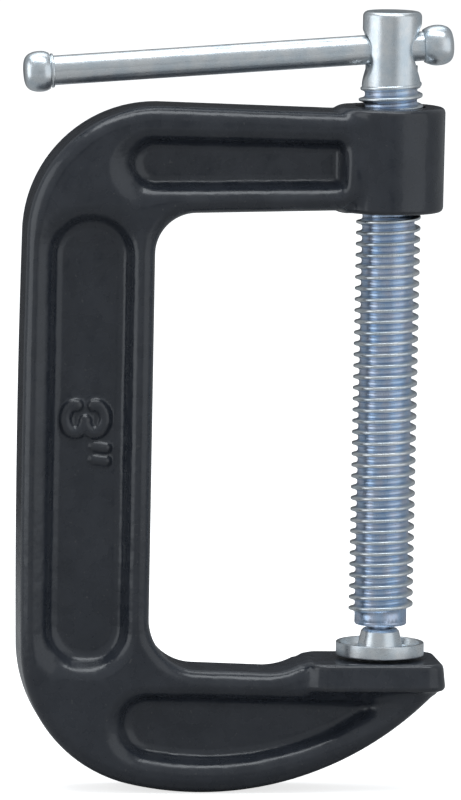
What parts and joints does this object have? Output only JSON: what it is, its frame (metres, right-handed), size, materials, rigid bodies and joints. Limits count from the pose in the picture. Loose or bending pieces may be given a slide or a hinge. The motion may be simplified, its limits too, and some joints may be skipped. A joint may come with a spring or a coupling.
{
  "type": "c clamp",
  "caption": "Deep-framed C clamp: recessed cast frame, coarse threaded screw through a round boss, swivel pad on a ball, sliding T-handle with a knob at each end.",
  "frame": {"origin": "middle of the flat back of the spine, half-way between the anvil face and the underside of the boss", "axes": "+Z along the screw towards the handle, +X from the spine towards the screw, -Y out of the side seen with the spine on the left"},
  "size_m": [0.0775, 0.0198, 0.141],
  "materials": {
    "enamel": "gloss charcoal enamel over a casting",
    "zinc_plated_steel": "bright bluish zinc plate",
    "spring_steel": "dark oiled wire"
  },
  "bodies": {
    "frame": {"frame": "enamel"},
    "pad_carrier": {"pad_retaining_ring": "spring_steel"},
    "screw": {"screw": "zinc_plated_steel"},
    "pad": {"swivel_pad": "zinc_plated_steel"},
    "handle": {"handle_bar": "zinc_plated_steel", "handle_knob_left": "zinc_plated_steel", "handle_knob_right": "zinc_plated_steel"}
  },
  "joints": [
    {"name": "screw_travel", "type": "slide", "parent": "frame", "child": "pad_carrier", "axis": [0, 0, 1], "range_m": [0, 0.0757]},
    {"name": "screw_turn", "type": "hinge", "parent": "pad_carrier", "child": "screw", "pos_m": [0.0655, 0, -0.03725], "axis": [0, 0, 1], "range_deg": [0, 13608]},
    {"name": "pad_tilt", "type": "hinge", "parent": "pad_carrier", "child": "pad", "pos_m": [0.0655, 0, -0.03725], "axis": [0, 1, 0], "range_deg": [-4, 4]},
    {"name": "handle_slide", "type": "slide", "parent": "screw", "child": "handle", "axis": [0.9972, 0, 0.075], "range_m": [-0.0008, 0.056]}
  ],
  "couplings": [
    {"joint": "screw_travel", "follows": "screw_turn", "m_per_rad": 0.00031831}
  ]
}
